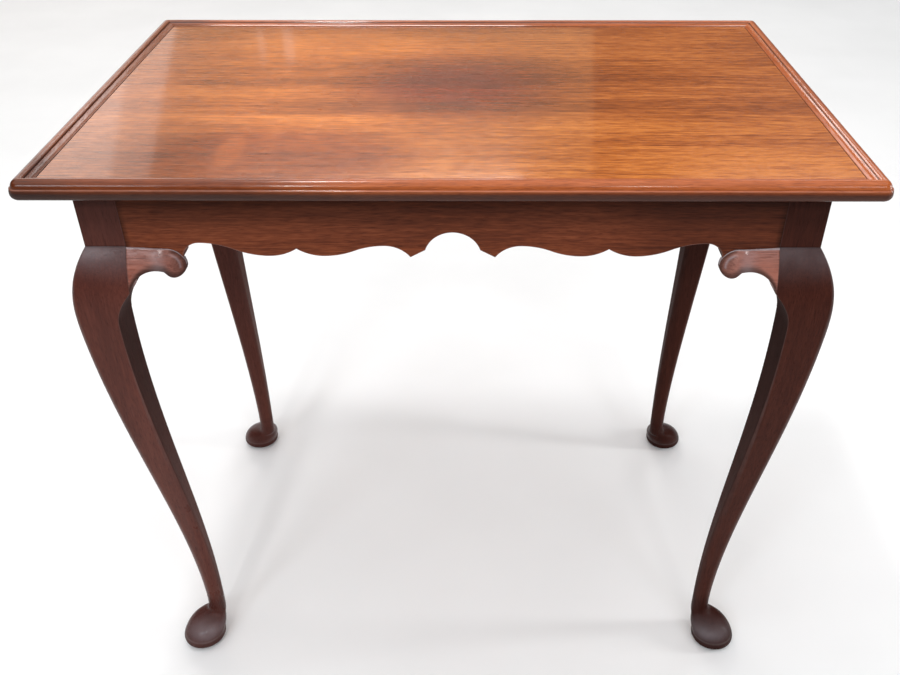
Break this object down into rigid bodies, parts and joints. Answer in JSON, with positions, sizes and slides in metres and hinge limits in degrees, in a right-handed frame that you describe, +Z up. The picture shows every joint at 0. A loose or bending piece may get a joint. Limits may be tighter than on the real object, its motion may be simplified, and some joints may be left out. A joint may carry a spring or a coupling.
{
  "type": "tray top tea table",
  "caption": "Rectangular tea table with a raised moulded tray rim, scalloped aprons and slender cabriole legs on pad feet, in polished mahogany.",
  "frame": {"origin": "on the floor under the middle of the top", "axes": "+X along the length, to the right seen from the front; +Y to the back; +Z up"},
  "size_m": [0.762, 0.483, 0.673],
  "materials": {
    "mahogany_field": "polished",
    "mahogany_rim": "polished",
    "mahogany_apron": "polished",
    "mahogany_leg": "polished",
    "mahogany_block": "polished",
    "inner_wood": "planed, unfinished",
    "screw_steel": "plain",
    "glide_nylon": "matt"
  },
  "bodies": {
    "root": {"apron_back": "mahogany_apron", "apron_front": "mahogany_apron", "apron_left": "mahogany_apron", "apron_right": "mahogany_apron", "corner_block_back_left": "inner_wood", "corner_block_back_right": "inner_wood", "corner_block_front_left": "inner_wood", "corner_block_front_right": "inner_wood", "corner_block_screws": "screw_steel", "foot_glide_back_left": "glide_nylon", "foot_glide_back_right": "glide_nylon", "foot_glide_front_left": "glide_nylon", "foot_glide_front_right": "glide_nylon", "glide_nails": "screw_steel", "knee_block_back_left_end": "mahogany_block", "knee_block_back_left_long": "mahogany_block", "knee_block_back_right_end": "mahogany_block", "knee_block_back_right_long": "mahogany_block", "knee_block_front_left_end": "mahogany_block", "knee_block_front_left_long": "mahogany_block", "knee_block_front_right_end": "mahogany_block", "knee_block_front_right_long": "mahogany_block", "leg_back_left": "mahogany_leg", "leg_back_right": "mahogany_leg", "leg_front_left": "mahogany_leg", "leg_front_right": "mahogany_leg", "top_board_back": "mahogany_field", "top_board_front": "mahogany_field", "top_board_middle": "mahogany_field", "top_button_back_left": "inner_wood", "top_button_back_middle": "inner_wood", "top_button_back_right": "inner_wood", "top_button_front_left": "inner_wood", "top_button_front_middle": "inner_wood", "top_button_front_right": "inner_wood", "top_button_left_end": "inner_wood", "top_button_right_end": "inner_wood", "top_button_screws": "screw_steel", "tray_rim_back": "mahogany_rim", "tray_rim_front": "mahogany_rim", "tray_rim_left": "mahogany_rim", "tray_rim_right": "mahogany_rim"}
  },
  "joints": []
}
